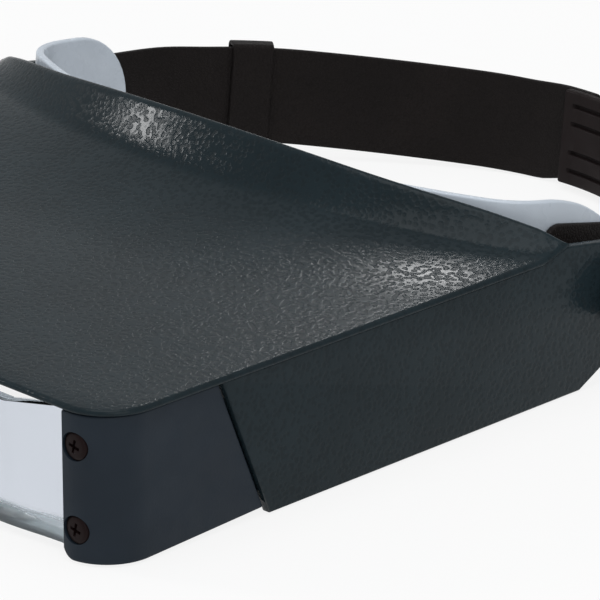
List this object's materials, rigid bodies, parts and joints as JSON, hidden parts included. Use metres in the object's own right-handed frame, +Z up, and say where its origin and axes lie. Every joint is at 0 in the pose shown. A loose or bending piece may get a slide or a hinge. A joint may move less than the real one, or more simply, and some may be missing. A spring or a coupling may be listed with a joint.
{
  "type": "binocular head loupe",
  "caption": "Head-worn binocular magnifier: visor shell with clear lens unit, tilting on a padded forehead band with adjustable straps.",
  "frame": {"origin": "centre of the bounding box in plan, on the surface that the visor's side walls stand on", "axes": "+X to the wearer's left, +Y to the wearer's back, +Z up; the lens faces -Y and the visor tilts about X"},
  "size_m": [0.2092, 0.2572, 0.0514],
  "materials": {
    "visor_plastic": "leather-grained, satin",
    "carrier_plastic": "fine-grained, satin",
    "clear_acrylic": "polished",
    "black_screw": "black, satin",
    "clamp_plastic": "moulded",
    "spring_steel": "rolled",
    "band_plastic": "light grey, smooth",
    "pad_leather": "soft, fine-grained",
    "strap_leather": "grained leatherette",
    "rivet_steel": "satin",
    "nape_rubber": "soft, ribbed",
    "housing_plastic": "moulded",
    "bolt_steel": "plated",
    "washer_nylon": "natural nylon",
    "knob_plastic": "moulded, satin",
    "insert_brass": "turned"
  },
  "bodies": {
    "headband": {"forehead_band": "band_plastic", "brow_pad": "pad_leather", "strap_left": "strap_leather", "strap_right": "strap_leather", "strap_rivets": "rivet_steel", "adjuster_housing": "housing_plastic", "adjuster_rivets": "rivet_steel", "nape_pad": "nape_rubber", "pivot_bolts": "bolt_steel", "friction_washers": "washer_nylon"},
    "visor": {"visor_shell": "visor_plastic", "carrier_springs": "spring_steel", "spring_washers": "spring_steel"},
    "lens_unit": {"lens_carrier": "carrier_plastic", "lens_plate": "clear_acrylic", "lens_screws": "black_screw", "lens_clamp_strips": "clamp_plastic"},
    "left_knob": {"knob_left": "knob_plastic", "knob_insert_left": "insert_brass"},
    "right_knob": {"knob_right": "knob_plastic", "knob_insert_right": "insert_brass"},
    "keeper": {"strap_keeper": "strap_leather"}
  },
  "joints": [
    {"name": "visor_tilt", "type": "hinge", "parent": "headband", "child": "visor", "pos_m": [0, 0.03402, 0.021], "axis": [-1, 0, 0], "range_deg": [-20, 85]},
    {"name": "lens_unit_slide", "type": "slide", "parent": "visor", "child": "lens_unit", "axis": [0, -1, 0], "range_m": [0, 0.045]},
    {"name": "left_knob_turn", "type": "hinge", "parent": "headband", "child": "left_knob", "pos_m": [0.1, 0.03402, 0.021], "axis": [1, 0, 0], "range_deg": [-30, 360]},
    {"name": "right_knob_turn", "type": "hinge", "parent": "headband", "child": "right_knob", "pos_m": [-0.1, 0.03402, 0.021], "axis": [-1, 0, 0], "range_deg": [-30, 360]},
    {"name": "keeper_slide", "type": "hinge", "parent": "headband", "child": "keeper", "pos_m": [-0.0269, 0.04545, 0.01976], "axis": [0, 0.108, 0.9942], "range_deg": [-8, 8]}
  ]
}
